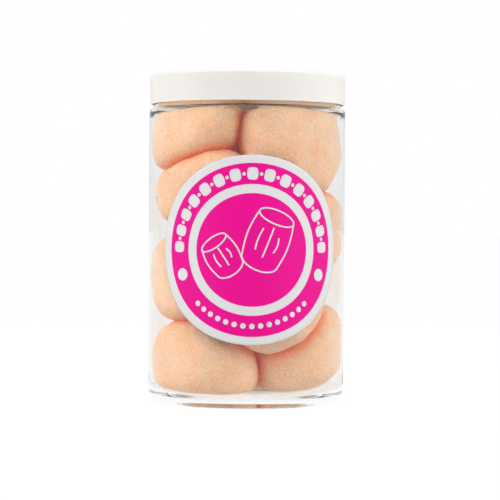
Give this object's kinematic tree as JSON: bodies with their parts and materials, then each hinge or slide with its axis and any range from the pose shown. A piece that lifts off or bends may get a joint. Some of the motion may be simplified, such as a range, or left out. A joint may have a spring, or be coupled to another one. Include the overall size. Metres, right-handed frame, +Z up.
{
  "type": "jar of marshmallows",
  "caption": "Clear round screw-lid jar with a white lid and a plain round label, filled with peach sugar-dusted marshmallows.",
  "frame": {"origin": "centre of the jar's base, on the surface that it stands on", "axes": "+Z up along the jar's axis; -Y is the front, which the label faces"},
  "size_m": [0.085, 0.0855, 0.1418],
  "materials": {
    "clear_plastic": "clear, polished",
    "white_plastic": "satin",
    "printed_label": "coated paper, semi-gloss",
    "sugared_marshmallow": "soft, matt, dusted with fine sugar"
  },
  "bodies": {
    "root": {"jar": "clear_plastic", "lid": "white_plastic", "label": "printed_label", "marshmallow_01": "sugared_marshmallow", "marshmallow_02": "sugared_marshmallow", "marshmallow_03": "sugared_marshmallow", "marshmallow_04": "sugared_marshmallow", "marshmallow_05": "sugared_marshmallow", "marshmallow_06": "sugared_marshmallow", "marshmallow_07": "sugared_marshmallow", "marshmallow_08": "sugared_marshmallow", "marshmallow_09": "sugared_marshmallow", "marshmallow_10": "sugared_marshmallow", "marshmallow_11": "sugared_marshmallow", "marshmallow_12": "sugared_marshmallow"}
  },
  "joints": []
}
